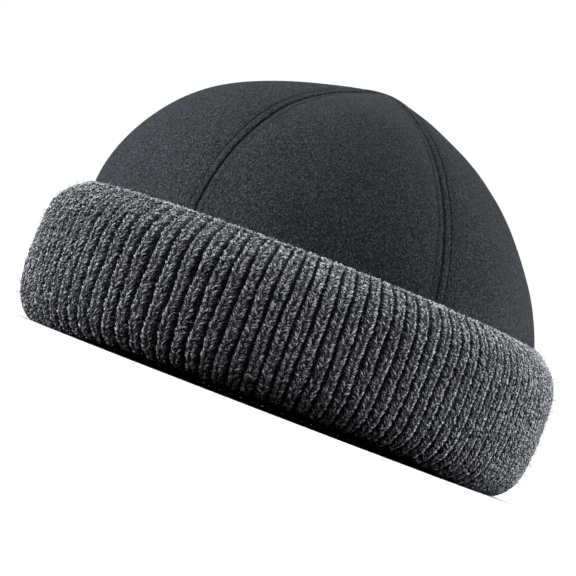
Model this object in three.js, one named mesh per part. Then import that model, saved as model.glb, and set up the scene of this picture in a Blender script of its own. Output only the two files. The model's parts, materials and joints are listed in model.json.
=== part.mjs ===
// A fisherman beanie: a dome of six sewn wool gores over a deep folded cuff of rib knit.
// Millimetres, +Z up, the front towards -Y. The origin is on the table below the middle of the hat.
import * as THREE from "three";

// Crown, measured over its outer face
const crownHalfWidth = 96;
const crownHalfDepth = 103;
const beltHeight = 49.5; // level where the crown is widest, hidden behind the cuff
const crownRise = 82.6; // from the belt to the top, without the peak
const peakHeight = 6.2; // the seams meet in a low point
const peakShare = 0.5; // share of the half width that the peak spreads over
const crownLean = 3; // how far the top of the empty crown leans to the wearer's left
const leanPower = 8; // the higher it is, the nearer to the top the lean begins
const crownSag = 4.6; // how far the crown sinks in at the shoulder that it leans to
const shoulderFill = 0.4; // share of that sag that the other shoulder stands out instead
const sagTurn = 80; // degrees round from the front to where it sinks most
const sagStart = 8; // degrees above the belt where it begins
const clothThickness = 2.5;
const hemHeight = 34; // where the cloth is sewn to the knit
const panelCount = 6;
const seamTurn = -1.4; // degrees from the front to the middle of the front gore
const panelBulge = 2.4; // how far a gore stands proud of its seams
const bulgeSpread = 2.2; // a power: the higher it is, the nearer to the seams the bulge reaches
const fullnessPower = 0.8; // the lower it is, the sooner a gore fills out above the cuff
const seamDip = 1.1; // how deep the cloth rolls into a seam
const insideDip = 0.3; // share of that dip that shows on the inside
const allowanceWidth = 3.2; // from the seam to its row of topstitching
const narrowestAllowance = 0.3; // the most of a gore's half width that this takes, near the top
const stitchDip = 0.3;
const seamGap = 0.3; // between two gores
const tipRadius = 0.9; // the gores end this far from the middle of the crown

// Cuff
const cuffHeight = 60;
const cuffOverhang = 14; // how far the cuff stands out from the crown's widest line
const innerLegThickness = 6.5;
const lipShare = 0.965; // share of the cuff's height where its rolled edge meets the crown
const foldHeight = 16; // the two legs of the cuff part above this
const crownClearance = 0.4; // between the crown and what lies against it
const rimArch = 4; // the rim lifts off the table at the front
const standShare = 0.45; // the cosine of the angle from the front where that lift begins
const ribCount = 120;
const ribDepth = 2.2;
const innerRibDepth = 1.3;
const ribCrowding = 0.24; // the ribs are closer on the wearer's left, wider on the right

// Sections of a gore from the hem up: the angle from the belt to the top, in degrees
const gorePitches = [0, 10.5, 20, 30, 40, 50, 60, 68, 75, 81, 86];
// Columns across a gore between the rows of topstitching, as shares of its half width
const goreColumns = [-0.6, -0.2, 0.2, 0.6];

// Outline of the cuff. "out" is the share of the overhang, or of the inner leg where it is negative,
// "up" the share of the cuff's height, "rib" the share of the rib's depth, and "arch" that of the arch.
const cuffOutside = [
  { out: 0.2, up: 0.0, rib: 0.0, arch: 1.0 },
  { out: 0.54, up: 0.05, rib: 0.7, arch: 0.95 },
  { out: 0.82, up: 0.15, rib: 1.0, arch: 0.8 },
  { out: 0.97, up: 0.33, rib: 1.0, arch: 0.5 },
  { out: 1.0, up: 0.53, rib: 1.0, arch: 0.2 },
  { out: 0.98, up: 0.69, rib: 1.0, arch: 0.05 },
  { out: 0.9, up: 0.8, rib: 1.0, arch: 0.0 },
  { out: 0.69, up: 0.895, rib: 0.9, arch: 0.0 },
  { out: 0.4, up: 0.96, rib: 0.5, arch: 0.0 },
  { out: 0.12, up: 1.0, rib: 0.0, arch: 0.0 },
];
// Inside of the inner leg, from its seam down to the rim
const cuffInside = [
  { out: -1.0, up: 0.93, rib: 1.0, arch: 0.0 },
  { out: -0.98, up: 0.35, rib: 1.0, arch: 0.6 },
  { out: -0.74, up: 0.08, rib: 0.7, arch: 0.95 },
  { out: -0.38, up: 0.0, rib: 0.0, arch: 1.0 },
];

const DEG = Math.PI / 180;
const solverPasses = 30;
const sagShapeTop = 0.585; // the highest value of the curve in sagAt

// How much of the bulge a gore has at a pitch between the belt and the top
function fullness(pitch) {
  return Math.pow(Math.max(Math.sin(2 * pitch), 0), fullnessPower);
}

// How far the crown sinks in: most at about a third of the way up, nothing at the belt and at the top
function sagAt(turn, pitch) {
  const toward = Math.cos(turn - sagTurn * DEG);
  const around = toward * toward * (toward > 0 ? 1 : -shoulderFill);
  const upward = Math.max((pitch / DEG - sagStart) / (90 - sagStart), 0);
  return (crownSag * around * Math.sin(Math.PI * upward) * (1 - upward)) / sagShapeTop;
}

// How far the middle of a gore stands outside the crown's widest oval at a level
function standOut(z) {
  const pitch = Math.asin(Math.min(Math.max((z - beltHeight) / crownRise, 0), 1));
  return panelBulge * fullness(pitch) - (1 - Math.cos(pitch)) * crownHalfWidth;
}

// A point that is "out" millimetres outside the crown's widest oval, at angle turn from the front
function ovalPoint(turn, out, z, scale = 1) {
  const normal = new THREE.Vector2(crownHalfDepth * Math.sin(turn), -crownHalfWidth * Math.cos(turn));
  normal.normalize();
  const x = crownHalfWidth * scale * Math.sin(turn) + out * normal.x;
  const y = -crownHalfDepth * scale * Math.cos(turn) + out * normal.y;
  return new THREE.Vector3(x, y, z);
}

// A closed body from a grid of points that wraps round both ways
function ringBody(columns) {
  const rows = columns[0].length;
  const positions = columns.flat().flatMap((point) => point.toArray());
  const index = [];
  columns.forEach((_, c) => {
    const next = (c + 1) % columns.length;
    for (let r = 0; r < rows; r += 1) {
      const up = (r + 1) % rows;
      const a = c * rows + r;
      const b = next * rows + r;
      const d = c * rows + up;
      const e = next * rows + up;
      index.push(a, b, e, a, e, d);
    }
  });
  return geometryOf(positions, index);
}

// A closed wall from two grids of points, the outer face and the inner one
function wallBody(outer, inner) {
  const columns = outer.length;
  const rows = outer[0].length;
  const positions = [...outer.flat(), ...inner.flat()].flatMap((point) => point.toArray());
  const at = (side, c, r) => side * columns * rows + c * rows + r;
  const index = [];
  const quad = (a, b, c, d) => index.push(a, b, c, a, c, d);
  for (let c = 0; c < columns - 1; c += 1) {
    for (let r = 0; r < rows - 1; r += 1) {
      quad(at(0, c, r), at(0, c + 1, r), at(0, c + 1, r + 1), at(0, c, r + 1));
      quad(at(1, c, r), at(1, c, r + 1), at(1, c + 1, r + 1), at(1, c + 1, r));
    }
    quad(at(0, c + 1, 0), at(0, c, 0), at(1, c, 0), at(1, c + 1, 0));
    quad(at(0, c, rows - 1), at(0, c + 1, rows - 1), at(1, c + 1, rows - 1), at(1, c, rows - 1));
  }
  for (let r = 0; r < rows - 1; r += 1) {
    const last = columns - 1;
    quad(at(0, 0, r), at(0, 0, r + 1), at(1, 0, r + 1), at(1, 0, r));
    quad(at(0, last, r + 1), at(0, last, r), at(1, last, r), at(1, last, r + 1));
  }
  return geometryOf(positions, index);
}

function geometryOf(positions, index) {
  const geometry = new THREE.BufferGeometry();
  geometry.setAttribute("position", new THREE.Float32BufferAttribute(positions, 3));
  geometry.setIndex(index);
  geometry.computeVertexNormals();
  return geometry;
}

// Sections of the crown as share of its half width, height, and how full the gore is there
function crownSections() {
  const hem = { scale: 1, z: hemHeight, slope: 0, full: 0 };
  const rings = gorePitches.map((degrees) => ringAt(Math.cos(degrees * DEG)));
  return [hem, ...rings, ringAt(tipRadius / crownHalfWidth)];
}

function ringAt(scale) {
  const pitch = Math.acos(scale);
  const nearTop = Math.max(1 - scale / peakShare, 0);
  const z = beltHeight + crownRise * Math.sin(pitch) + peakHeight * nearTop * nearTop;
  return { scale, z, slope: pitch, full: fullness(pitch) };
}

// The crown's outward direction at an angle from the front
function crownNormal(turn, section) {
  const level = Math.cos(section.slope);
  const x = (Math.sin(turn) * level) / crownHalfWidth;
  const y = (-Math.cos(turn) * level) / crownHalfDepth;
  return new THREE.Vector3(x, y, Math.sin(section.slope) / crownRise).normalize();
}

// Columns of a gore: where each lies between its seams, and how far the cloth dips there
function goreColumnsAt(halfWidth) {
  const stitch = 1 - Math.min(allowanceWidth / halfWidth, narrowestAllowance);
  const roll = Math.min(1, halfWidth / allowanceWidth / 2);
  const body = goreColumns.map((share) => ({ across: share * stitch, dip: 0 }));
  const left = [{ across: -1, dip: seamDip * roll }, { across: -stitch, dip: stitchDip * roll }];
  const right = [{ across: stitch, dip: stitchDip * roll }, { across: 1, dip: seamDip * roll }];
  return [...left, ...body, ...right];
}

// One gore of cloth, bulging between its seams and rolled in along them
function goreGeometry(start, end) {
  const middle = (start + end) / 2;
  const halfAngle = (end - start) / 2;
  const outerRows = [];
  const innerRows = [];
  for (const section of crownSections()) {
    const outside = [];
    const inside = [];
    for (const { across, dip } of goreColumnsAt(crownHalfWidth * section.scale * halfAngle)) {
      const turn = middle + across * halfAngle;
      const normal = crownNormal(turn, section);
      const along = new THREE.Vector3(crownHalfWidth * Math.cos(turn), crownHalfDepth * Math.sin(turn), 0);
      const full = panelBulge * section.full * (1 - Math.pow(Math.abs(across), bulgeSpread));
      const bulge = full - sagAt(turn, section.slope);
      const point = ovalPoint(turn, 0, section.z, section.scale);
      point.x += crownLean * Math.pow(Math.sin(section.slope), leanPower);
      point.addScaledVector(along.normalize(), (-across * seamGap) / 2);
      outside.push(point.clone().addScaledVector(normal, bulge - dip));
      inside.push(point.clone().addScaledVector(normal, bulge - dip * insideDip - clothThickness));
    }
    outerRows.push(outside);
    innerRows.push(inside);
  }
  return wallBody(columnsOf(outerRows), columnsOf(innerRows));
}

function columnsOf(rows) {
  return rows[0].map((_, c) => rows.map((row) => row[c]));
}

// The angle where the count of ribs, started at the front, reaches a number
function ribAngle(number) {
  let turn = (number / ribCount) * 2 * Math.PI;
  for (let pass = 0; pass < solverPasses; pass += 1) {
    turn = (number / ribCount) * 2 * Math.PI + ribCrowding * (Math.cos(turn) - 1);
  }
  return turn;
}

// How far the rim is lifted off the table: all of it at the front, nothing along the sides and back
function archAt(turn) {
  const share = Math.max((Math.cos(turn) - standShare) / (1 - standShare), 0);
  return rimArch * share * share * (3 - 2 * share);
}

// The inside of the outer leg clears the fullest level of the crown inside the cuff
const lipShares = [0, 0.25, 0.5, 0.75, 1];
const lipLevels = lipShares.map((share) => beltHeight + share * (cuffHeight - beltHeight));
const snugFit = crownClearance + Math.max(...lipLevels.map(standOut));

// One column of the cuff's outline, on a rib's crest or in the groove beside it
function cuffColumn(turn, onCrest) {
  const arch = archAt(turn);
  const column = [];
  const seat = hemHeight - seamGap;
  column.push(ovalPoint(turn, -crownClearance, seat));
  column.push(ovalPoint(turn, -innerLegThickness + innerRibDepth / 2, seat));
  for (const row of cuffInside) {
    const out = row.out * innerLegThickness + (onCrest ? innerRibDepth * row.rib : 0);
    const z = row.up * seat + arch * row.arch;
    column.push(ovalPoint(turn, out, z));
  }
  cuffOutside.forEach((row, i) => {
    const before = cuffOutside[Math.max(i - 1, 0)];
    const after = cuffOutside[Math.min(i + 1, cuffOutside.length - 1)];
    const rise = (after.up - before.up) * cuffHeight;
    const run = (after.out - before.out) * cuffOverhang;
    const length = Math.hypot(rise, run);
    const sink = onCrest ? 0 : ribDepth * row.rib;
    const out = row.out * cuffOverhang - (sink * rise) / length;
    const z = row.up * cuffHeight + arch * row.arch + (sink * run) / length;
    column.push(ovalPoint(turn, out, z));
  });
  column.push(ovalPoint(turn, snugFit, cuffHeight * lipShare));
  column.push(ovalPoint(turn, snugFit, foldHeight));
  column.push(ovalPoint(turn, -crownClearance, foldHeight));
  return column;
}

function cuffGeometry() {
  const columns = [];
  for (let rib = 0; rib < ribCount; rib += 1) {
    columns.push(cuffColumn(ribAngle(rib), false));
    columns.push(cuffColumn(ribAngle(rib + 0.5), true));
  }
  return ringBody(columns);
}

const group = new THREE.Group();

const cloth = new THREE.MeshStandardMaterial({ color: 0x37393c, roughness: 0.95, metalness: 0 });
const gore = (2 * Math.PI) / panelCount;
for (let i = 0; i < panelCount; i += 1) {
  const middle = i * gore + seamTurn * DEG;
  const panel = new THREE.Mesh(goreGeometry(middle - gore / 2, middle + gore / 2), cloth);
  panel.name = `crown_panel_${i + 1}`;
  group.add(panel);
}

const knit = new THREE.MeshStandardMaterial({ color: 0x5c5d60, roughness: 0.98, metalness: 0 });
const cuff = new THREE.Mesh(cuffGeometry(), knit);
cuff.name = "knit_cuff";
group.add(cuff);

export default group;
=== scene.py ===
"""A fisherman beanie: felted wool gores over a folded cuff of chunky rib knit.

Every piece is in metres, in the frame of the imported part. The front of the hat is towards -Y.
"""

import json
import math

import bpy
import numpy as np
from mathutils import Matrix, Vector

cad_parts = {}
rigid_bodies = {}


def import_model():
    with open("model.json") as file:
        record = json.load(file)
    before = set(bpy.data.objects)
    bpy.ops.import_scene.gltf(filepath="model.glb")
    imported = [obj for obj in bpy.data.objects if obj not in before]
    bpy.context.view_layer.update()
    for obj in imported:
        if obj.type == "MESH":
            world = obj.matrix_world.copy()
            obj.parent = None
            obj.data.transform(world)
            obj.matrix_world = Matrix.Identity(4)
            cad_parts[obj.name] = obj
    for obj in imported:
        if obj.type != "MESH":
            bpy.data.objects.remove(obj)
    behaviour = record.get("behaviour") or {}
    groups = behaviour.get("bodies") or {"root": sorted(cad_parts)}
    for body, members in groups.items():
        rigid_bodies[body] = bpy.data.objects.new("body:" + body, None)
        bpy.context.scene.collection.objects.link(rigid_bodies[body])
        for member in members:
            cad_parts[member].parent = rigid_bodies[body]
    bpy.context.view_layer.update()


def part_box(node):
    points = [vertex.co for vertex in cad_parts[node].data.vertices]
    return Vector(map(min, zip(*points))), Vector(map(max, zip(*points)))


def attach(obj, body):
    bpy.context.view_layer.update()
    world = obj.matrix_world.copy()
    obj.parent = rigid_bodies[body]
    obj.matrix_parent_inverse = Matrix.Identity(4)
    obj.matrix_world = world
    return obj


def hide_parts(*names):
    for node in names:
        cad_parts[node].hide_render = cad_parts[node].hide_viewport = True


bl_info = {
    "name": "Fisherman Beanie",
    "version": (1, 0, 0),
    "blender": (4, 5, 0),
    "location": "3D View > Sidebar > Beanie",
    "description": "Builds a short cap of sewn wool gores with a folded rib-knit cuff",
    "category": "Add Mesh",
}

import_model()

MM = 0.001
CUFF_LOW, CUFF_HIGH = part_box("knit_cuff")
PANEL_NAMES = [f"crown_panel_{i + 1}" for i in range(6)]
CROWN_TOP = max(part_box(name)[1][2] for name in PANEL_NAMES)
HEM = min(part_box(name)[0][2] for name in PANEL_NAMES)
CUFF_HALF_WIDTH = (CUFF_HIGH[0] - CUFF_LOW[0]) / 2
CUFF_HALF_DEPTH = (CUFF_HIGH[1] - CUFF_LOW[1]) / 2


# Sizes and colours that a user would change


def length_property(name, description, default):
    return bpy.props.FloatProperty(name=name, description=description, default=default, unit="LENGTH")


class CrownSizes(bpy.types.PropertyGroup):
    """The dome of six gores."""

    cloth: length_property("Cloth", "Thickness of the wool cloth", 2.5 * MM)
    peak: length_property("Peak", "Height of the low point at the top", 6.2 * MM)
    lean: length_property("Lean", "How far the top leans to the wearer's left", 3.0 * MM)
    sag: length_property(
        "Sag", "How far the cloth sinks in at the wearer's left shoulder of the crown", 4.6 * MM)
    bulge: length_property("Bulge", "How far a gore stands proud of its seams", 2.4 * MM)
    seam_dip: length_property("Seam dip", "How deep the cloth rolls into a seam", 0.6 * MM)
    allowance: length_property("Allowance", "From a seam to its row of topstitching", 3.2 * MM)
    stitch_length: length_property("Stitch length", "Length of one topstitch", 2.7 * MM)
    cloth_colour: bpy.props.StringProperty(
        name="Cloth colour", description="sRGB colour of the wool as a hex value", default="393C41")
    thread_colour: bpy.props.StringProperty(
        name="Thread colour", description="sRGB colour of the sewing thread", default="26272A")


class CuffSizes(bpy.types.PropertyGroup):
    """The folded tube of rib knit."""

    overhang: length_property("Overhang", "How far the cuff stands out from the crown", 14 * MM)
    inner_leg: length_property("Inner leg", "Thickness of the layer against the head", 6.5 * MM)
    slot_floor: length_property("Slot floor", "The two legs part above this height", 16 * MM)
    arch: length_property("Arch", "Lift of the rim at the front", 4 * MM)
    ribs: bpy.props.IntProperty(name="Ribs", description="Ribs round the cuff", default=120, min=12)
    rib_depth: length_property("Rib depth", "Depth of the grooves outside", 2.7 * MM)
    inner_rib_depth: length_property("Inner rib depth", "Depth of the grooves inside", 1.5 * MM)
    crowding: bpy.props.FloatProperty(
        name="Crowding", description="How much closer the ribs lie on one side", default=0.24)
    stitch: length_property("Stitch", "Height of one knit stitch", 2.0 * MM)
    yarn_dark: bpy.props.StringProperty(
        name="Dark yarn", description="sRGB colour of the dark fibres", default="34373D")
    yarn_light: bpy.props.StringProperty(
        name="Light yarn", description="sRGB colour of the pale fibres", default="D4D7DD")


class StageSizes(bpy.types.PropertyGroup):
    """Camera, lights and floor."""

    distance: length_property("Distance", "From the camera to the hat", 0.95)
    height: length_property("Height", "Camera above the floor", 8 * MM)
    roll: bpy.props.FloatProperty(
        name="Roll", description="Turn of the picture", default=math.radians(21), subtype="ANGLE")
    pixel: length_property("Pixel", "Size of one picture point at the hat", 0.4077 * MM)


def sizes(group):
    return getattr(bpy.context.scene, group)


# Colours and node trees


def linear(hex_value):
    """An sRGB hex colour as the linear colour that a shader takes."""
    parts = [int(hex_value[i : i + 2], 16) / 255 for i in (0, 2, 4)]
    return tuple(c / 12.92 if c <= 0.04045 else ((c + 0.055) / 1.055) ** 2.4 for c in parts) + (1.0,)


def add(tree, kind, settings=None, **inputs):
    """Adds a node with its settings and its inputs, which are values or the sockets to link."""
    node = tree.nodes.new(kind)
    for name, value in (settings or {}).items():
        setattr(node, name, value)
    for name, value in inputs.items():
        socket = node.inputs[int(name[1:]) if name[1:].isdigit() else name.replace("_", " ")]
        if isinstance(value, bpy.types.NodeSocket):
            tree.links.new(value, socket)
        else:
            socket.default_value = value
    return node


def calc(tree, operation, *values):
    """The result of a Math node."""
    inputs = {f"_{i}": value for i, value in enumerate(values)}
    return add(tree, "ShaderNodeMath", {"operation": operation}, **inputs).outputs[0]


def noise(tree, where, scale, detail, **inputs):
    """Noise with scale grains to the metre, where its place is in metres."""
    return add(tree, "ShaderNodeTexNoise", Vector=where, Scale=scale, Detail=detail, **inputs).outputs["Fac"]


def ramp(tree, value, *stops):
    """Turns a value into a colour by stops, each a place and a linear colour."""
    node = add(tree, "ShaderNodeValToRGB", Fac=value)
    elements = node.color_ramp.elements
    while len(elements) < len(stops):
        elements.new(0.5)
    for element, (place, colour) in zip(elements, stops):
        element.position = place
        element.color = colour
    return node.outputs["Color"]


def grey(value):
    return (value, value, value, 1.0)


def times(colour, factor):
    return tuple(c * factor for c in colour[:3]) + (1.0,)


# Materials. Real fibres are some hundredths of a millimetre thick. The noise that stands for them has
# grains of about 0.4 to 1.1 mm, so that they show in a picture of the whole hat.


def principled(name, **values):
    """A new material with its tree and its shader, which takes the values as inputs."""
    material = bpy.data.materials.new(name)
    material.use_nodes = True
    shader = material.node_tree.nodes["Principled BSDF"]
    for label, value in values.items():
        shader.inputs[label.replace("_", " ")].default_value = value
    return material, material.node_tree, shader


def melton_wool(cloth_hex):
    """Melton: a heavy woven wool, milled and felted until the weave is gone. It gives a dense matt nap of
    short matted fibres, dark charcoal with fine pale ones, and a soft glow where the nap is seen edge on."""
    material, tree, shader = principled(
        "melton_wool", Roughness=0.95, Specular_IOR_Level=0.2, Sheen_Weight=0.12, Sheen_Roughness=0.45,
        Sheen_Tint=linear("8E9299"))
    where = add(tree, "ShaderNodeTexCoord").outputs["Object"]
    fibres = noise(tree, where, 2400.0, 1.0, Roughness=0.6)
    clumps = noise(tree, where, 900.0, 2.0, Roughness=0.65)
    patches = noise(tree, where, 45.0, 2.0)  # about 2 cm wide
    base = linear(cloth_hex)
    tones = ramp(tree, fibres, (0.4, times(base, 0.35)), (0.52, base), (0.66, times(base, 3.3)))
    soft = ramp(tree, clumps, (0.34, grey(0.5)), (0.66, grey(1.25)))
    worn = ramp(tree, patches, (0.3, grey(0.93)), (0.7, grey(1.07)))
    for layer in (soft, worn):
        tones = add(tree, "ShaderNodeMix", {"data_type": "RGBA", "blend_type": "MULTIPLY"},
                    _0=1.0, _6=tones, _7=layer).outputs[2]
    tree.links.new(tones, shader.inputs["Base Color"])
    nap = add(tree, "ShaderNodeBump", Strength=0.5, Distance=0.3 * MM, Height=fibres)
    felt = add(tree, "ShaderNodeBump", Strength=0.4, Distance=0.5 * MM, Height=clumps,
               Normal=nap.outputs["Normal"])
    tree.links.new(felt.outputs["Normal"], shader.inputs["Normal"])
    return material


def wool_yarn(name, dark_hex, light_hex, level):
    """Melange wool yarn: dark and pale fibres carded together before spinning, so that each stitch is
    streaked with both. It is matt, with a soft glow from the fuzz. "strand" is a place within a stitch."""
    material, tree, shader = principled(
        name, Roughness=0.9, Specular_IOR_Level=0.2, Sheen_Weight=0.35, Sheen_Roughness=0.5,
        Sheen_Tint=linear("B0B2B6"))
    where = add(tree, "ShaderNodeTexCoord").outputs["Object"]
    stitch = add(tree, "ShaderNodeAttribute", {"attribute_name": "shade"}).outputs["Fac"]
    strand = add(tree, "ShaderNodeAttribute", {"attribute_name": "strand"}).outputs["Vector"]
    drawn = add(tree, "ShaderNodeVectorMath", {"operation": "MULTIPLY"}, _0=strand, _1=(3.0, 6.0, 3.0))
    apart = add(tree, "ShaderNodeVectorMath", {"operation": "SCALE"}, _0=(37.0, 91.0, 53.0), Scale=stitch)
    place = add(tree, "ShaderNodeVectorMath", {"operation": "ADD"}, _0=drawn.outputs[0], _1=apart.outputs[0])
    streaks = noise(tree, place.outputs[0], 1.0, 1.0)
    patches = noise(tree, where, 1450.0, 1.0)
    fine = calc(tree, "MULTIPLY", streaks, 0.8)
    both = calc(tree, "MULTIPLY_ADD", patches, 1.2, fine)
    mixed = calc(tree, "MULTIPLY_ADD", stitch, 0.22, both)
    # level darkens all of the yarn's colours; below 1 it is painted shade, not a darker yarn
    dark, light = linear(dark_hex), linear(light_hex)
    middle = tuple((d * 0.72 + l * 0.28) * level for d, l in zip(dark[:3], light[:3])) + (1.0,)
    share = calc(tree, "MULTIPLY", mixed, 0.5)
    tones = ramp(tree, share, (0.46, times(dark, level)), (0.55, middle), (0.635, times(light, level)))
    tree.links.new(tones, shader.inputs["Base Color"])
    twist = add(tree, "ShaderNodeBump", Strength=0.5, Distance=0.3 * MM, Height=streaks)
    tree.links.new(twist.outputs["Normal"], shader.inputs["Normal"])
    return material


def sewing_thread(thread_hex):
    """Spun polyester thread: two plies twisted tightly, which gives a faint slanting shine."""
    material, tree, shader = principled("spun_polyester_thread", Roughness=0.6)
    where = add(tree, "ShaderNodeTexCoord").outputs["Object"]
    plies = noise(tree, where, 2600.0, 1.0)
    base = linear(thread_hex)
    tree.links.new(ramp(tree, plies, (0.35, base), (0.7, times(base, 2.4))), shader.inputs["Base Color"])
    twist = add(tree, "ShaderNodeBump", Strength=0.4, Distance=0.1 * MM, Height=plies)
    tree.links.new(twist.outputs["Normal"], shader.inputs["Normal"])
    return material


def material_of(name):
    """Each material is made once, from the colours in the panel."""
    made = bpy.data.materials.get(name)
    if made:
        return made
    crown, cuff = sizes("beanie_crown"), sizes("beanie_cuff")
    if name == "melton_wool":
        return melton_wool(crown.cloth_colour)
    if name == "spun_polyester_thread":
        return sewing_thread(crown.thread_colour)
    # The level darkens a copy of the yarn as painted shade: the ground shows only between the stitches (0.4),
    # and the inside is seen in the shade (0.7)
    level = {"melange_wool_yarn": 1.0, "melange_wool_ground": 0.4, "melange_wool_inside": 0.7}[name]
    return wool_yarn(name, cuff.yarn_dark, cuff.yarn_light, level)


# The shape of the hat


def oval(turn, out, scale=1.0):
    """Points that are out metres outside the crown's widest oval, at angles turn from the front."""
    a = CUFF_HALF_WIDTH - sizes("beanie_cuff").overhang
    b = CUFF_HALF_DEPTH - sizes("beanie_cuff").overhang
    nx, ny = b * np.sin(turn), -a * np.cos(turn)
    length = np.hypot(nx, ny)
    x = a * scale * np.sin(turn) + out * nx / length
    y = -b * scale * np.cos(turn) + out * ny / length
    return x, y


BELT = 49.5 * MM  # the level where the crown is widest
PEAK_SHARE = 0.5  # share of the half width that the peak spreads over
LEAN_POWER = 8  # the higher it is, the nearer to the top the lean begins
FULLNESS_POWER = 0.8  # the lower it is, the sooner a gore fills out above the cuff
BULGE_SPREAD = 2.2  # the higher it is, the nearer to the seams the bulge reaches
SEAM_TURN = math.radians(-1.4)  # from the front to the middle of the front gore
SAG_TURN = math.radians(80)  # the cloth sinks in most at this angle from the front
SAG_START = math.radians(8)  # above the belt
SAG_SHAPE_TOP = 0.585  # the highest value of the curve in sunk
SHOULDER_FILL = 0.4  # share of the sag that the other shoulder stands out instead
STAND_SHARE = 0.45  # the cosine of the angle from the front where the rim's lift begins
GORE = math.pi / 3

# The cloth along a seam
NEAR_SEAM = 0.29 * MM  # width of the mesh's finest strips
FINE_STRIPS, STRIPS = 14, 21  # of those, and of all strips, in half a gore
SEAM_OVERLAP = 0.03 * MM  # the gores' edges are drawn together, so that no light comes through a seam
SEAM_WIDTH = 0.3 * MM  # of the dip at each side of a seam
INSIDE_DIP = 0.3  # share of that dip that shows on the inside
SWELL = 0.5 * MM  # how far a pressed allowance stands proud
FLAT_SIDE = 0.15  # share of the swell on the side of a seam that the allowances don't lie on
TUCK_WIDTH = 0.42 * MM  # of the furrow that a row of topstitching pulls in
DRAG, DRAG_WIDTH = 0.15 * MM, 2.2 * MM  # height and width of the puckers beside that row
LUMPS = 0.3 * MM
INSIDE_ALLOWANCE = 6.5 * MM  # from a seam to the cut edges of the cloth inside
INSIDE_SWELL = 1.1 * MM
STITCH_MARK, MARK_WIDTH = 0.3 * MM, 0.5 * MM  # of the topstitching on the inside
CUT_EDGE = 0.25 * MM  # how sharply the cloth steps down at the edge of an allowance


def arch(turn):
    share = np.maximum((np.cos(turn) - STAND_SHARE) / (1 - STAND_SHARE), 0)
    return sizes("beanie_cuff").arch * share * share * (3 - 2 * share)


def sunk(turn, pitch):
    """How far the empty crown sinks in at one shoulder, and stands out by a share of it at the other."""
    toward = np.cos(turn - SAG_TURN)
    around = np.where(toward > 0, 1, -SHOULDER_FILL) * toward**2
    upward = np.clip((pitch - SAG_START) / (math.pi / 2 - SAG_START), 0, 1)
    return sizes("beanie_crown").sag * around * np.sin(math.pi * upward) * (1 - upward) / SAG_SHAPE_TOP


def hump(place, middle, width):
    """One at the middle, and almost nothing at twice the width from it."""
    return np.exp(-(((place - middle) / width) ** 2))


def wave(*terms):
    """A smooth unevenness from sines: each term has a strength, a phase and the angles it adds up."""
    return sum(strength * np.sin(phase + angle) for strength, phase, angle in terms)


def unevenness(x, y, z):
    """The soft lumps of handled cloth, in shares of one, the same for pieces that meet."""
    return wave((0.5, 0.4, 88 * x + 60 * z), (0.4, 2.1, 105 * y - 71 * z), (0.3, 4.4, 150 * (x + y) + 40 * z),
                (0.25, 1.2, 190 * (x - y) - 95 * z))


# Outline of the cuff, from the top of the inner leg round under the rim to the rolled top edge.
# Columns: share of the inner leg or the overhang outwards, share of the leg's or the cuff's height, share of
# the ribs' depth, share of the arch.
INSIDE_OUTLINE = [
    (-1.0, 0.93, 1.0, 0.0),
    (-0.98, 0.35, 1.0, 0.6),
    (-0.74, 0.08, 0.8, 0.95),
    (-0.38, 0.0, 0.45, 1.0),
]
OUTSIDE_OUTLINE = [
    (0.2, 0.0, 0.45, 1.0),
    (0.54, 0.05, 0.75, 0.95),
    (0.82, 0.15, 1.0, 0.8),
    (0.97, 0.33, 1.0, 0.5),
    (1.0, 0.53, 1.0, 0.2),
    (0.98, 0.69, 1.0, 0.05),
    (0.9, 0.8, 1.0, 0.0),
    (0.69, 0.895, 1.0, 0.0),
    (0.4, 0.96, 0.8, 0.0),
    (0.12, 1.0, 0.3, 0.0),
]
SNUG = 0.65 * MM  # from the crown's widest line to the inside of the outer leg
CLEAR = 0.4 * MM  # from that line in to the outside of the inner leg
LIP_SHARE = 0.965  # share of the cuff's height where its rolled edge meets the crown


def spline(rows, step):
    """A smooth line through the rows, sampled every step metres along it in its first two columns."""
    points = np.array(rows, float)
    fine = []
    for i in range(len(points) - 1):
        p0, p1 = points[max(i - 1, 0)], points[i]
        p2, p3 = points[i + 1], points[min(i + 2, len(points) - 1)]
        for t in np.linspace(0, 1, 24, endpoint=False):
            fine.append(0.5 * (2 * p1 + (p2 - p0) * t + (2 * p0 - 5 * p1 + 4 * p2 - p3) * t * t
                               + (3 * p1 - p0 - 3 * p2 + p3) * t ** 3))
    fine.append(points[-1])
    fine = np.array(fine)
    along = np.concatenate([[0], np.cumsum(np.hypot(*np.diff(fine[:, :2], axis=0).T))])
    count = max(int(round(along[-1] / step)), 2)
    places = np.linspace(0, along[-1], count + 1)
    return places, np.stack([np.interp(places, along, fine[:, k]) for k in range(fine.shape[1])], 1)


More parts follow.
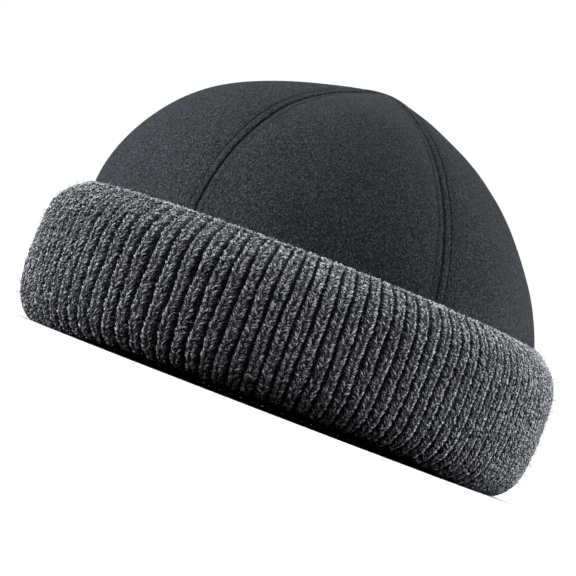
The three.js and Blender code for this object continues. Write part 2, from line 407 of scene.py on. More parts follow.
class CuffForm:
    """The cuff's outer skin, from the hem seam inside, round the fold, to the rolled edge at the top."""

    def __init__(self):
        cuff = sizes("beanie_cuff")
        self.cuff = cuff
        self.seat = HEM - 0.3 * MM
        self.top = CUFF_HIGH[2]
        rows = [(-cuff.inner_leg + cuff.inner_rib_depth / 2, self.seat, 0.6, 0.0, 0.0)]
        rows += [(o * cuff.inner_leg, u * self.seat, r, a, 0.0) for o, u, r, a in INSIDE_OUTLINE]
        rows += [(o * cuff.overhang, u * self.top, r, a, 1.0) for o, u, r, a in OUTSIDE_OUTLINE]
        rows.append((SNUG, self.top * LIP_SHARE, 0.0, 0.0, 1.0))
        self.places, self.rows = spline(rows, 0.5 * MM)
        slope = np.gradient(self.rows[:, :2], self.places, axis=0)
        self.normals = np.stack([slope[:, 1], -slope[:, 0]], 1)
        self.normals /= np.linalg.norm(self.normals, axis=1)[:, None]
        rim = np.argmin(self.rows[:, 1] + np.abs(self.rows[:, 0]) * 0.1)
        self.rim = self.places[rim]
        self.length = self.places[-1]

    def at(self, table, place):
        return np.interp(place, self.places, table)

    def point(self, turn, place, lift=0.0):
        """Where the skin of the knit is: on the ribs' crests, lift metres outwards."""
        out = self.at(self.rows[:, 0], place) + lift * self.at(self.normals[:, 0], place)
        z = self.at(self.rows[:, 1], place) + lift * self.at(self.normals[:, 1], place)
        x, y = oval(turn, out)
        return np.stack([x, y, z + arch(turn) * self.at(self.rows[:, 3], place)], -1)

    def turn(self, count):
        """The angle where the count of ribs reaches a number."""
        goal = np.asarray(count, float) / self.cuff.ribs * 2 * math.pi
        turn = goal.copy()
        for _ in range(30):
            turn = goal + self.cuff.crowding * (np.cos(turn) - 1)
        return turn

    def sway(self, turn, place):
        """The ribs wander a little sideways, in shares of a rib."""
        loose = 1 + 1.2 * hump(turn, -0.75, 0.45)
        return loose * wave((0.05, 0.3, 5 * turn + 28 * place), (0.04, 1.9, 9 * turn - 45 * place),
                            (0.03, 3.1, 23 * turn + 120 * place), (0.025, 5.0, 41 * turn - 230 * place))

    def groove(self, count, turn, place):
        """Depth of the ribs' relief: nothing on a crest, all of it in a groove."""
        across = np.abs(2 * (count - np.floor(count)) - 1)
        inside = np.clip((self.rim - place) / (8 * MM) + 0.5, 0, 1)
        power = 5.6 * (1 + wave((0.2, 1.1, 29 * turn + 170 * place), (0.18, 4.2, 47 * turn - 230 * place)))
        share = self.at(self.rows[:, 2], place)
        depth = self.cuff.rib_depth * (1 - inside) + self.cuff.inner_rib_depth * inside
        patch = 1 + wave((0.1, 0.7, 7 * turn + 60 * place), (0.12, 2.7, 37 * turn - 210 * place))
        return -depth * share * patch * self.drawn(turn) * across ** power

    def drawn(self, turn):
        """The knit is drawn tighter and flatter towards both sides of the hat."""
        return 1 - 0.75 * hump(turn, 1.1, 0.75) - 0.6 * hump(turn, -1.5, 0.5)

    def skin(self, count, place, lift=0.0):
        """A point on the ribbed skin at a count of ribs and a place along the outline."""
        turn = self.turn(count)
        relief = self.groove(count, turn, place)
        swayed = self.turn(count + self.sway(turn, place))
        return self.point(swayed, place, relief + lift)

    def directions(self, count, place):
        """Unit directions beside and ahead on the skin, the one that it faces, and the ribs' pitch."""
        tiny, step = 0.02, 0.3 * MM  # a share of a rib, and a way along the outline
        beside = self.skin(count + tiny, place) - self.skin(count - tiny, place)
        ahead = self.skin(count, place + step) - self.skin(count, place - step)
        face = np.cross(beside, ahead)
        face /= np.linalg.norm(face, axis=1)[:, None]
        ahead /= np.linalg.norm(ahead, axis=1)[:, None]
        wide = np.linalg.norm(beside, axis=1)
        return beside / wide[:, None], ahead, face, wide / (2 * tiny)


# Meshes


def mesh_object(name, vertices, faces, material, smooth=True):
    mesh = bpy.data.meshes.new(name)
    mesh.from_pydata([tuple(v) for v in vertices], [], [tuple(f) for f in faces])
    mesh.materials.append(material)
    mesh.validate()
    if smooth:
        mesh.shade_smooth()
    made = bpy.data.objects.new(name, mesh)
    bpy.context.collection.objects.link(made)
    return made


def grid_faces(columns, rows, close_columns, close_rows, offset=0, flip=False):
    """Quads of a grid that may wrap round either way."""
    c = np.arange(columns if close_columns else columns - 1)
    r = np.arange(rows if close_rows else rows - 1)
    c, r = (g.ravel() for g in np.meshgrid(c, r, indexing="ij"))
    c2, r2 = (c + 1) % columns, (r + 1) % rows
    quads = np.stack([c * rows + r, c2 * rows + r, c2 * rows + r2, c * rows + r2], 1) + offset
    return quads[:, ::-1] if flip else quads


def plain_copy(made, name):
    """The evaluated object as a plain mesh of its own, without its modifiers."""
    graph = bpy.context.evaluated_depsgraph_get()
    mesh = bpy.data.meshes.new_from_object(made.evaluated_get(graph))
    mesh.name = name
    made.modifiers.clear()
    old = made.data
    made.data = mesh
    bpy.data.meshes.remove(old)
    return made


def settle(made):
    """Presses the knit softly against the table, so that nothing reaches below it."""
    vertices = made.data.vertices
    places = np.empty(len(vertices) * 3, np.float32)
    vertices.foreach_get("co", places)
    z = places[2::3]
    z[:] = np.logaddexp(0, (z - 0.3 * MM) / (0.2 * MM)) * 0.2 * MM
    vertices.foreach_set("co", places)


def point_cloud(name, points, **attributes):
    """Loose points that carry values, for the trees below to build on."""
    mesh = bpy.data.meshes.new(name)
    mesh.from_pydata([tuple(p) for p in points], [], [])
    for key, values in attributes.items():
        values = np.asarray(values, np.float32)
        kind, field = ("FLOAT_VECTOR", "vector") if values.ndim == 2 else ("FLOAT", "value")
        mesh.attributes.new(key, kind, "POINT").data.foreach_set(field, values.ravel())
    made = bpy.data.objects.new(name, mesh)
    bpy.context.collection.objects.link(made)
    return made


# Geometry Nodes


def new_tree(name, inputs):
    """A tree with one geometry in, the named inputs and one geometry out."""
    tree = bpy.data.node_groups.new(name, "GeometryNodeTree")
    tree.interface.new_socket("Geometry", in_out="INPUT", socket_type="NodeSocketGeometry")
    for label, kind in inputs:
        tree.interface.new_socket(label, in_out="INPUT", socket_type=kind)
    tree.interface.new_socket("Geometry", in_out="OUTPUT", socket_type="NodeSocketGeometry")
    return tree, tree.nodes.new("NodeGroupInput"), tree.nodes.new("NodeGroupOutput")


def carried(tree, name, kind="FLOAT"):
    """A value that the points carry."""
    return add(tree, "GeometryNodeInputNamedAttribute", {"data_type": kind}, Name=name).outputs["Attribute"]


def chance(tree, low, high, seed, more):
    """A random number for each point, with a seed of its own: the object's plus some more."""
    seed = calc(tree, "ADD", seed, more) if more else seed
    return add(tree, "FunctionNodeRandomValue", {"data_type": "FLOAT"}, _2=low, _3=high, Seed=seed).outputs[1]


def close_tree(tree, out, instances, shade, material):
    """Marks each instance with its shade, makes them all real and gives them their material."""
    marked = add(tree, "GeometryNodeStoreNamedAttribute", {"data_type": "FLOAT", "domain": "INSTANCE"},
                 Geometry=instances.outputs[0], Name="shade", Value=shade)
    real = add(tree, "GeometryNodeRealizeInstances", Geometry=marked.outputs[0])
    done = add(tree, "GeometryNodeSetMaterial", Geometry=real.outputs[0], Material=material)
    tree.links.new(done.outputs[0], out.inputs[0])
    return tree


def laid_threads():
    """Lays a short fat piece of thread at each point, along its "lie" and standing towards its "face"."""
    made = bpy.data.node_groups.get("Laid Threads")
    if made:
        return made
    tree, given, out = new_tree("Laid Threads", [
        ("Length", "NodeSocketFloat"), ("Width", "NodeSocketFloat"), ("Thickness", "NodeSocketFloat"),
        ("Unevenness", "NodeSocketFloat"), ("Rings", "NodeSocketInt"), ("Seed", "NodeSocketInt"),
        ("Material", "NodeSocketMaterial")])
    given = given.outputs
    thread = add(tree, "GeometryNodeMeshUVSphere", Radius=0.5, Segments=5, Rings=given["Rings"])
    thread = add(tree, "GeometryNodeTransform", Geometry=thread.outputs["Mesh"], Rotation=(math.pi / 2, 0, 0))
    smooth = add(tree, "GeometryNodeSetShadeSmooth", Geometry=thread.outputs[0])
    inside = add(tree, "GeometryNodeInputPosition")
    smooth = add(tree, "GeometryNodeStoreNamedAttribute", {"data_type": "FLOAT_VECTOR", "domain": "POINT"},
                 Geometry=smooth.outputs[0], Name="strand", Value=inside.outputs[0])
    rotation = add(tree, "FunctionNodeAxesToRotation", {"primary_axis": "Z", "secondary_axis": "Y"},
                   _0=carried(tree, "face", "FLOAT_VECTOR"), _1=carried(tree, "lie", "FLOAT_VECTOR"))
    tilt = calc(tree, "MULTIPLY", chance(tree, -0.35, 0.35, given["Seed"], 0), given["Unevenness"])
    turn = add(tree, "ShaderNodeCombineXYZ", Z=tilt)
    spin = add(tree, "FunctionNodeEulerToRotation", Euler=turn.outputs[0])
    placed = add(tree, "FunctionNodeRotateRotation", {"rotation_space": "LOCAL"},
                 Rotation=rotation.outputs[0], Rotate_By=spin.outputs[0])
    grown = chance(tree, -0.5, 0.5, given["Seed"], 7.0)
    factor = calc(tree, "MULTIPLY_ADD", grown, given["Unevenness"], 1.0)
    width = calc(tree, "MULTIPLY", given["Width"], carried(tree, "wide"))
    form = add(tree, "ShaderNodeCombineXYZ", X=width, Y=given["Length"], Z=given["Thickness"])
    scale = add(tree, "ShaderNodeVectorMath", {"operation": "SCALE"}, _0=form.outputs[0], Scale=factor)
    points = add(tree, "GeometryNodeMeshToPoints", Mesh=given["Geometry"], Radius=0.001)
    laid = add(tree, "GeometryNodeInstanceOnPoints", Points=points.outputs[0], Instance=smooth.outputs[0],
               Rotation=placed.outputs[0], Scale=scale.outputs[0])
    return close_tree(tree, out, laid, chance(tree, 0.0, 1.0, given["Seed"], 13.0), given["Material"])


def loose_fibres():
    """Scatters fine bent fibres over a surface, leaning away from it at random."""
    made = bpy.data.node_groups.get("Loose Fibres")
    if made:
        return made
    tree, given, out = new_tree("Loose Fibres", [
        ("Density", "NodeSocketFloat"), ("Length", "NodeSocketFloat"), ("Radius", "NodeSocketFloat"),
        ("Lean", "NodeSocketFloat"), ("Seed", "NodeSocketInt"), ("Material", "NodeSocketMaterial")])
    given = given.outputs
    spots = add(tree, "GeometryNodeDistributePointsOnFaces", Mesh=given["Geometry"],
                Density=given["Density"], Seed=given["Seed"])
    bow = add(tree, "GeometryNodeCurveQuadraticBezier", Resolution=3, Start=(0, 0, -0.1),
              Middle=(0.12, 0, 0.6), End=(0.65, 0, 0.9))
    ring = add(tree, "GeometryNodeCurvePrimitiveCircle", Resolution=3, Radius=given["Radius"])
    hair = add(tree, "GeometryNodeCurveToMesh", Curve=bow.outputs[0], Profile_Curve=ring.outputs[0],
               Fill_Caps=True)
    low = add(tree, "ShaderNodeVectorMath", {"operation": "SCALE"}, _0=(1, 1, 0), Scale=given["Lean"])
    base = add(tree, "ShaderNodeVectorMath", {"operation": "SCALE"}, _0=low.outputs[0], Scale=-1.0)
    spread = add(tree, "FunctionNodeRandomValue", {"data_type": "FLOAT_VECTOR"},
                 Min=base.outputs[0], Max=low.outputs[0], Seed=given["Seed"])
    about = add(tree, "ShaderNodeCombineXYZ", Z=chance(tree, 0.0, 2 * math.pi, given["Seed"], 3.0))
    about = add(tree, "FunctionNodeEulerToRotation", Euler=about.outputs[0])
    lean = add(tree, "FunctionNodeEulerToRotation", Euler=spread.outputs[0])
    first = add(tree, "FunctionNodeRotateRotation", {"rotation_space": "LOCAL"},
                Rotation=spots.outputs["Rotation"], Rotate_By=lean.outputs[0])
    placed = add(tree, "FunctionNodeRotateRotation", {"rotation_space": "LOCAL"},
                 Rotation=first.outputs[0], Rotate_By=about.outputs[0])
    scale = calc(tree, "MULTIPLY", chance(tree, 0.4, 1.3, given["Seed"], 5.0), given["Length"])
    grown = add(tree, "GeometryNodeInstanceOnPoints", Points=spots.outputs["Points"],
                Instance=hair.outputs[0], Rotation=placed.outputs[0], Scale=scale)
    return close_tree(tree, out, grown, chance(tree, 0.2, 1.0, given["Seed"], 9.0), given["Material"])


def grow(made, tree, **values):
    """Runs a tree on an object with its named inputs, and keeps the result as a plain mesh."""
    modifier = made.modifiers.new(tree.name, "NODES")
    modifier.node_group = tree
    sockets = {item.name: item.identifier for item in tree.interface.items_tree if item.in_out == "INPUT"}
    for label, value in values.items():
        modifier[sockets[label]] = value
    made.update_tag()
    made = plain_copy(made, made.name)
    made.data.materials.clear()
    made.data.materials.append(values["Material"])
    return made


# Pieces


def crown_rows(crown):
    """Levels of the crown from the hem to the top: scale of the oval, height, pitch, fullness, distance."""
    rise = CROWN_TOP - BELT - crown.peak
    a = CUFF_HALF_WIDTH - sizes("beanie_cuff").overhang
    last = np.radians([87.3, 88.4, 89.2, 89.7, 89.97])  # rows that close the crown at its top
    pitch = np.concatenate([np.linspace(0, math.radians(86), 128), last])
    scale = np.cos(pitch)
    near = np.maximum(1 - scale / PEAK_SHARE, 0)
    z = BELT + rise * np.sin(pitch) + crown.peak * near * near
    full = np.maximum(np.sin(2 * pitch), 0) ** FULLNESS_POWER
    hem = np.linspace(HEM, BELT, 6, endpoint=False)
    flat = np.zeros(len(hem))
    scale, pitch, full = (np.concatenate([start, v]) for start, v in
                          ((flat + 1, scale), (flat, pitch), (flat, full)))
    z = np.concatenate([hem, z])
    along = np.concatenate([[0], np.cumsum(np.hypot(np.diff(scale * a), np.diff(z)))])
    return scale, z, pitch, full, along, rise, a


def gore_surface(middle, crown):
    """Outer and inner face of one gore as grids of points, with the outward direction."""
    scale, z, pitch, full, along, rise, a = crown_rows(crown)
    b = CUFF_HALF_DEPTH - sizes("beanie_cuff").overhang
    half = GORE / 2
    half_width = a * scale * half
    steps = np.arange(STRIPS + 1)
    base = NEAR_SEAM * np.minimum(steps, FINE_STRIPS)
    rest = np.maximum(steps - FINE_STRIPS, 0) / (STRIPS - FINE_STRIPS)
    wide = base[:, None] + rest[:, None] * (half_width[None] - NEAR_SEAM * FINE_STRIPS)
    even = half_width[None] * steps[:, None] / STRIPS
    roomy = half_width[None] > NEAR_SEAM * FINE_STRIPS * 1.3
    gap = np.where(roomy, np.minimum(wide, even * 8), even)
    gap = np.minimum(gap, half_width[None])
    gap = np.maximum.accumulate(np.minimum(gap, even * STRIPS / np.maximum(steps[:, None], 1)), axis=0)
    gap[-1] = half_width
    side = np.concatenate([-(half_width[None] - gap), (half_width[None] - gap[:-1][::-1])], 0)
    distance = half_width[None] - np.abs(side)
    across = side / half_width[None]
    turn = middle + across * half
    level = np.cos(pitch)[None]
    nx = np.sin(turn) * level / a
    ny = -np.cos(turn) * level / b
    nz = np.broadcast_to(np.sin(pitch)[None] / rise, nx.shape)
    normal = np.stack([nx, ny, nz], -1)
    normal /= np.linalg.norm(normal, axis=-1)[..., None]
    x, y = oval(turn, 0.0, scale[None])
    tangent = np.stack([a * np.cos(turn), b * np.sin(turn), np.zeros_like(turn)], -1)
    tangent /= np.linalg.norm(tangent, axis=-1)[..., None]
    x = x + crown.lean * np.sin(pitch)[None] ** LEAN_POWER
    point = np.stack([x, y, np.broadcast_to(z[None], x.shape)], -1)
    point = point + tangent * (across * SEAM_OVERLAP)[..., None]
    roll = np.minimum(1, half_width / (2 * crown.allowance))[None]
    bulge = crown.bulge * full[None] * (1 - np.abs(across) ** BULGE_SPREAD) - sunk(turn, pitch[None])
    lumps = LUMPS * unevenness(x, y, z[None])
    puffed = bulge + lumps * np.minimum(full[None] * 1.5, 1)
    # The allowances are pressed away from the front, and stand proud on the side of a seam that is
    # farther back
    proud = np.where(np.cos(middle + np.sign(side) * half) > np.cos(middle), 1.0, FLAT_SIDE)
    dip = crown.seam_dip * hump(distance, 0, SEAM_WIDTH) * np.minimum(1, half_width / (0.8 * MM))[None]
    swell = SWELL * proud / (1 + np.exp((distance - crown.allowance) / CUT_EDGE))
    pucker = 0.5 + 0.5 * np.cos(2 * math.pi * along[None] / crown.stitch_length)
    depth = 0.1 + 0.35 * proud + 0.4 * pucker * (0.4 + 0.6 * proud)
    tuck = depth * MM * hump(distance, crown.allowance, TUCK_WIDTH)
    drag = DRAG * (pucker - 0.5) * hump(distance, crown.allowance, DRAG_WIDTH)
    out = puffed + (swell - tuck + drag) * roll - dip
    outer = point + normal * out[..., None]
    under = INSIDE_SWELL / (1 + np.exp((distance - INSIDE_ALLOWANCE) / CUT_EDGE))
    mark = STITCH_MARK * hump(distance, crown.allowance, MARK_WIDTH)
    inside = puffed - INSIDE_DIP * dip - crown.cloth - (under - mark) * roll * np.minimum(full[None] * 2, 1)
    inner = point + normal * inside[..., None]
    return outer, inner, normal, distance, along, half_width


class BEANIE_OT_crown(bpy.types.Operator):
    """Sew the six gores of wool cloth"""

    bl_idname = "beanie.crown"
    bl_label = "Crown"

    def execute(self, context):
        crown = sizes("beanie_crown")
        for i, name in enumerate(PANEL_NAMES):
            outer, inner = gore_surface(i * GORE + SEAM_TURN, crown)[:2]
            columns, rows = outer.shape[:2]
            count = columns * rows
            faces = [grid_faces(columns, rows, False, False),
                     grid_faces(columns, rows, False, False, count, True)]
            c = np.arange(columns - 1)
            r = np.arange(rows - 1)
            low, high = c * rows, c * rows + rows - 1
            faces.append(np.stack([low + rows, low, low + count, low + rows + count], 1))
            faces.append(np.stack([high, high + rows, high + rows + count, high + count], 1))
            faces.append(np.stack([r, r + 1, r + 1 + count, r + count], 1))
            last = (columns - 1) * rows + r
            faces.append(np.stack([last + 1, last, last + count, last + 1 + count], 1))
            points = np.concatenate([outer.reshape(-1, 3), inner.reshape(-1, 3)])
            panel = mesh_object(f"wool_{name}", points, np.concatenate(faces), material_of("melton_wool"))
            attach(panel, "root")
            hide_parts(name)
        return {"FINISHED"}


class BEANIE_OT_topstitch(bpy.types.Operator):
    """Sew the rows of topstitching on both sides of each seam"""

    bl_idname = "beanie.topstitch"
    bl_label = "Topstitching"

    def execute(self, context):
        crown = sizes("beanie_crown")
        places, lies, faces = [], [], []
        for i in range(len(PANEL_NAMES)):
            outer, _, normal, distance, along, half_width = gore_surface(i * GORE + SEAM_TURN, crown)
            for side in (0, 1):
                half = outer.shape[0] // 2
                columns = slice(0, half + 1) if side == 0 else slice(2 * half, half - 1, -1)
                line = []
                ups = []
                for r in range(len(along)):
                    if half_width[r] < crown.allowance * 1.25:
                        break
                    line.append([np.interp(crown.allowance, distance[columns, r], outer[columns, r, k])
                                 for k in range(3)])
                    ups.append([np.interp(crown.allowance, distance[columns, r], normal[columns, r, k])
                                for k in range(3)])
                line, ups = np.array(line), np.array(ups)
                run = np.concatenate([[0], np.cumsum(np.linalg.norm(np.diff(line, axis=0), axis=1))])
                marks = np.arange(crown.stitch_length / 2, run[-1], crown.stitch_length)
                spot = np.stack([np.interp(marks, run, line[:, k]) for k in range(3)], 1)
                ahead = np.stack([np.interp(marks + MM, run, line[:, k]) for k in range(3)], 1)
                up = np.stack([np.interp(marks, run, ups[:, k]) for k in range(3)], 1)
                places.append(spot + up * 0.05 * MM)
                lies.append(ahead - spot)
                faces.append(up)
        places, lies, faces = (np.concatenate(v) for v in (places, lies, faces))
        seams = point_cloud("seam_topstitching", places, lie=lies, face=faces, wide=np.ones(len(places)))
        grow(seams, laid_threads(), Length=0.86 * crown.stitch_length, Width=0.6 * MM, Thickness=0.55 * MM,
             Unevenness=0.12, Rings=4, Seed=4, Material=material_of("spun_polyester_thread"))
        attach(seams, "root")
        return {"FINISHED"}


KNIT = ["rib_knit_cuff", "outer_stitches_1", "outer_stitches_2", "outer_stitches_3", "inner_stitches",
        "rolled_edge_stitches", "yarn_fuzz"]


class BEANIE_OT_cuff(bpy.types.Operator):
    """Knit the ribbed tube and fold it up"""

    bl_idname = "beanie.cuff"
    bl_label = "Cuff"

    def execute(self, context):
        cuff = sizes("beanie_cuff")
        form = CuffForm()
        steps = np.array([0, 0.09, 0.2, 0.34, 0.5, 0.66, 0.8, 0.91])
        count = (np.arange(cuff.ribs)[:, None] + steps[None]).ravel()
        rows = int(form.length / (1.9 * MM))
        place = np.linspace(0, form.length, rows)
        skin = form.skin(count[:, None], place[None], -0.75 * MM)
        turn = form.turn(count)
        foot = 0.9 * hump(place, form.rim, 3 * MM)[None]
        skin[..., 2] -= (skin[..., 2] - arch(turn)[:, None]) * foot
        lining = []
        for out, z in ((SNUG, cuff.slot_floor), (-CLEAR, cuff.slot_floor), (-CLEAR, form.seat)):
            x, y = oval(turn, out)
            lining.append(np.stack([x, y, np.full_like(x, z)], -1))
        body = np.concatenate([skin] + [line[:, None] for line in lining], 1)
        columns, total = body.shape[:2]
        # The ground's yarn is darkened as painted shade for the grooves between the stitches
        base = mesh_object("rib_knit_cuff", body.reshape(-1, 3), grid_faces(columns, total, True, True),
                           material_of("melange_wool_ground"))
        settle(base)
        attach(base, "root")
        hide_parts("knit_cuff")
        return {"FINISHED"}


def stitch_arms(form, ribs, first, last, strands, lean, spread):
    """Points for the strands of V stitches: each rib is a column of Vs with a left and a right arm, and each
    arm is a bundle of strands that lean the same way. The yarn is uneven and the stitches waver."""
    cuff = form.cuff
    rows = np.arange(first, last, cuff.stitch)
    grid = (ribs, (-1.0, 1.0), np.arange(len(rows)), np.arange(strands))
    rib, side, row, strand = np.meshgrid(*grid, indexing="ij")
    loose = np.random.default_rng(int(ribs[0]) + 71)
    whole = rib.shape[:3] + (1,)
    place = rows[row] + strand * cuff.stitch / strands + loose.normal(0, 0.14 * MM, whole)
    place = place + loose.normal(0, 0.16 * MM, rib.shape)
    count = rib + 0.5 + side * (spread + 0.06 * (-1.0) ** strand)
    count = count + loose.normal(0, 0.03, whole) + loose.normal(0, 0.045, rib.shape)
    lift = loose.normal(0, 0.12 * MM, whole) + loose.normal(0, 0.15 * MM, rib.shape)
    lift = (lift - 0.5 * MM * (strand == 0)) * form.drawn(form.turn(count))
    lean = -side * lean * (1 + loose.normal(0, 0.22, rib.shape))
    count, place, lift, lean = (v.ravel() for v in (count, place, lift, lean))
    beside, ahead, face, pitch = form.directions(count, place)
    return form.skin(count, place, lift), ahead - beside * lean[:, None], face, pitch


class BEANIE_OT_stitches(bpy.types.Operator):
    """Lay the legs of the knit stitches over the ribs"""

    bl_idname = "beanie.stitches"
    bl_label = "Knit stitches"

    def execute(self, context):
        cuff = sizes("beanie_cuff")
        form = CuffForm()
        all_ribs = np.arange(cuff.ribs)
        third = np.array_split(np.roll(all_ribs, cuff.ribs // 6), 3)
        top = form.length - 3.0 * MM
        jobs = [
            (f"outer_stitches_{i + 1}", ribs, form.rim, top, 4, 0.95, "melange_wool_yarn", 11 + i)
            for i, ribs in enumerate(third)
        ]
        # The inside's yarn is darkened as painted shade, since the inside is seen in the shade
        jobs.append(("inner_stitches", all_ribs, 1.0 * MM, form.rim, 2, 0.8, "melange_wool_inside", 15))
        for name, ribs, first, last, strands, lean, yarn, seed in jobs:
            spot, lie, face, pitch = stitch_arms(form, ribs, first, last, strands, lean, 0.215)
            wide = 0.7 + 0.3 * pitch / (5.8 * MM)
            legs = point_cloud(name, spot - face * 0.4 * MM, lie=lie, face=face, wide=wide)
            grow(legs, laid_threads(), Length=2.1 * MM, Width=2.6 * MM / strands, Thickness=0.9 * MM,
                 Unevenness=1.0, Rings=2, Seed=seed, Material=material_of(yarn))
            settle(legs)
            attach(legs, "root")
        return {"FINISHED"}


class BEANIE_OT_edge(bpy.types.Operator):
    """Roll the top edge of the cuff"""

    bl_idname = "beanie.edge"
    bl_label = "Rolled edge"

    def execute(self, context):
        cuff = sizes("beanie_cuff")
        form = CuffForm()
        apart = 1.25 * MM
        rows = np.arange(form.length - 3.6 * MM, form.length, apart)
        count = np.arange(0, cuff.ribs, 0.2)
        across, row = (g.ravel() for g in np.meshgrid(count, rows, indexing="ij"))
        across = across + 0.1 * (np.round((row - rows[0]) / apart) % 2)
        loose = np.random.default_rng(83)
        across, row = across + loose.normal(0, 0.04, across.shape), row + loose.normal(0, 0.3 * MM, row.shape)
        spot = form.skin(across, row)
        beside, ahead, face, pitch = form.directions(across, row)
        side = np.where(np.arange(len(across)) // len(rows) % 2 == 0, 1.0, -1.0)
        lie = ahead + beside * (side * 0.8)[:, None]
        edge = point_cloud(
            "rolled_edge_stitches", spot - face * 0.5 * MM, lie=lie, face=face, wide=pitch * 0.2)
        grow(edge, laid_threads(), Length=2.2 * MM, Width=0.9, Thickness=1.1 * MM, Unevenness=0.7, Rings=3,
             Seed=21, Material=material_of("melange_wool_yarn"))
        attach(edge, "root")
        return {"FINISHED"}


class BEANIE_OT_fuzz(bpy.types.Operator):
    """Raise the loose fibres of the yarn"""

    bl_idname = "beanie.fuzz"
    bl_label = "Fuzz"

    def execute(self, context):
        form = CuffForm()
        cuff = sizes("beanie_cuff")
        count = np.arange(0, cuff.ribs, 0.25)
        place = np.linspace(0.0, form.length, 60)
        skin = form.skin(count[:, None], place[None], -0.3 * MM)
        columns, rows = skin.shape[:2]
        faces = grid_faces(columns, rows, True, False)
        faces = faces[skin.reshape(-1, 3)[faces, 2].min(axis=1) > 1.5 * MM]
        fuzz = mesh_object("yarn_fuzz", skin.reshape(-1, 3), faces, material_of("melange_wool_yarn"))
        grow(fuzz, loose_fibres(), Density=80000.0, Length=1.7 * MM, Radius=0.028, Lean=1.25, Seed=31,
             Material=material_of("melange_wool_yarn"))
        settle(fuzz)
        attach(fuzz, "root")
        return {"FINISHED"}


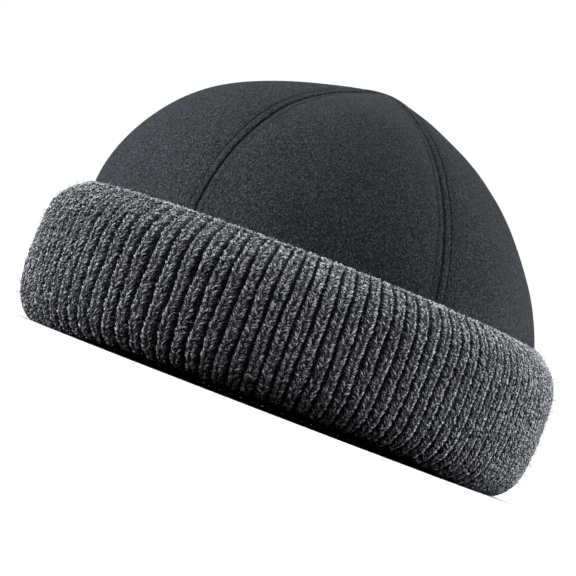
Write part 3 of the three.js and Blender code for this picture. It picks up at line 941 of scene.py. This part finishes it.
class BEANIE_OT_stage(bpy.types.Operator):
    """Set the floor, the lights and the camera"""

    bl_idname = "beanie.stage"
    bl_label = "Stage"

    def execute(self, context):
        stage = sizes("beanie_stage")
        scene = context.scene
        scene.view_settings.view_transform = "Standard"
        floor = self.floor()
        self.world(scene)
        self.lights(floor)
        self.camera(scene, stage)
        return {"FINISHED"}

    def floor(self):
        """White paper. It is left out of what lights the hat, so that the fold of the cuff stays dark."""
        paper = principled("seamless_paper", Base_Color=linear("F4F4F4"), Roughness=0.95,
                           Specular_IOR_Level=0.0)[0]
        side = 6.0
        floor = mesh_object("floor", [(-side, -side, 0), (side, -side, 0), (side, side, 0), (-side, side, 0)],
                            [(0, 1, 2, 3)], paper, smooth=False)
        floor.visible_diffuse = False
        floor.visible_glossy = False
        return floor

    def world(self, scene):
        """A white backdrop for the camera. What lights the hat is a glow from above the horizon: strongest at
        the left, less at the right, and dim in front, behind and overhead."""
        world = bpy.data.worlds.new("studio")
        world.use_nodes = True
        tree = world.node_tree
        back = tree.nodes["Background"]
        ray = add(tree, "ShaderNodeLightPath").outputs["Is Camera Ray"]
        way = add(tree, "ShaderNodeTexCoord").outputs["Generated"]
        way = add(tree, "ShaderNodeSeparateXYZ", _0=way)
        sideways = calc(tree, "ABSOLUTE", calc(tree, "SUBTRACT", way.outputs["X"], 0.13))
        sideways = calc(tree, "POWER", sideways, 2.5)
        above = add(tree, "ShaderNodeMapRange", _0=way.outputs["Z"], _1=0.3, _2=1.0, _3=0.33, _4=0.03)
        glow = calc(tree, "MULTIPLY_ADD", sideways, 1.25, above.outputs[0])
        upward = add(tree, "ShaderNodeMapRange", _0=way.outputs["Z"], _1=0.1, _2=0.6, _3=0.0, _4=1.0)
        glow = calc(tree, "MULTIPLY", glow, upward.outputs[0])
        light = add(tree, "ShaderNodeMix", {"data_type": "FLOAT"}, _0=ray, _2=glow, _3=1.0)
        back.inputs["Color"].default_value = (1, 1, 1, 1)
        tree.links.new(light.outputs[0], back.inputs["Strength"])
        scene.world = world

    def lights(self, floor):
        """Soft boxes that light only the knit, others that light everything else, and a sun for the floor
        alone. They are staging, and nothing on the hat depends on them."""

        def soft_box(name, place, side, power, receivers):
            light = bpy.data.lights.new(name, "AREA")
            light.shape = "RECTANGLE"
            light.size = side
            light.size_y = side
            light.energy = power
            lamp = bpy.data.objects.new(name, light)
            bpy.context.collection.objects.link(lamp)
            lamp.location = place
            direction = Vector((0, 0, 0.07)) - Vector(place)
            lamp.rotation_euler = direction.to_track_quat("-Z", "Y").to_euler()
            lamp.light_linking.receiver_collection = receivers

        knit = bpy.data.collections.new("knit_receivers")
        crown = bpy.data.collections.new("crown_receivers")
        for piece in bpy.data.objects:
            if piece.name in KNIT:
                knit.objects.link(piece)
            elif piece.type == "MESH":
                crown.objects.link(piece)
        soft_box("crown_left", (-1.1, -0.25, 0.25), 1.0, 18.5, crown)
        soft_box("crown_right", (1.05, 0.1, 0.25), 1.0, 15.5, crown)
        soft_box("knit_left", (-1.1, -0.05, 0.5), 1.0, 22.0, knit)
        soft_box("knit_right", (1.0, -0.2, 0.65), 1.0, 11.0, knit)
        soft_box("knit_overhead", (0.7, -0.15, 1.0), 0.8, 10.0, knit)
        sun = bpy.data.lights.new("floor_wash", "SUN")
        sun.energy = 3.6
        sun.angle = math.radians(75)
        wash = bpy.data.objects.new("floor_wash", sun)
        bpy.context.collection.objects.link(wash)
        lit = bpy.data.collections.new("floor_wash_receivers")
        lit.objects.link(floor)
        wash.light_linking.receiver_collection = lit

    def camera(self, scene, stage):
        """The middle of the picture lies 17 picture points to the wearer's right of the hat's middle, and
        41.7 above a level in the cuff. The camera keeps its distance from there at the height it is given."""
        picture, sensor, cuff_level = 576, 36.0, 32.5 * MM
        data = bpy.data.cameras.new("camera")
        eye = bpy.data.objects.new("camera", data)
        bpy.context.collection.objects.link(eye)
        across, up = -17.0 * stage.pixel, 41.7 * stage.pixel
        aim = np.array([across, 0.0, up + cuff_level])
        back = math.sqrt(stage.distance ** 2 - (aim[2] - stage.height) ** 2)
        place = np.array([across, -back, stage.height])
        eye.location = place
        pitch = math.atan2(aim[2] - place[2], aim[1] - place[1])
        turn = Matrix.Rotation(math.pi / 2 + pitch, 4, "X") @ Matrix.Rotation(stage.roll, 4, "Z")
        eye.matrix_world = Matrix.Translation(place) @ turn
        data.sensor_width = sensor
        data.lens = sensor * stage.distance / (stage.pixel * picture)
        data.clip_start = 0.01
        scene.camera = eye


class BEANIE_PT_panel(bpy.types.Panel):
    """The steps of the hat"""

    bl_label = "Beanie"
    bl_idname = "BEANIE_PT_panel"
    bl_space_type = "VIEW_3D"
    bl_region_type = "UI"
    bl_category = "Beanie"

    def draw(self, context):
        for step in STEPS:
            self.layout.operator(step.bl_idname)


STEPS = (
    BEANIE_OT_crown, BEANIE_OT_topstitch, BEANIE_OT_cuff, BEANIE_OT_stitches, BEANIE_OT_edge, BEANIE_OT_fuzz,
    BEANIE_OT_stage,
)
GROUPS = {"beanie_crown": CrownSizes, "beanie_cuff": CuffSizes, "beanie_stage": StageSizes}


def register():
    for group in GROUPS.values():
        bpy.utils.register_class(group)
    for name, group in GROUPS.items():
        setattr(bpy.types.Scene, name, bpy.props.PointerProperty(type=group))
    for step in (*STEPS, BEANIE_PT_panel):
        bpy.utils.register_class(step)


def unregister():
    for step in reversed((*STEPS, BEANIE_PT_panel)):
        bpy.utils.unregister_class(step)
    for name in GROUPS:
        delattr(bpy.types.Scene, name)
    for group in reversed(GROUPS.values()):
        bpy.utils.unregister_class(group)


def main():
    register()
    for step in STEPS:
        area, name = step.bl_idname.split(".")
        getattr(getattr(bpy.ops, area), name)()


if __name__ == "__main__":
    main()
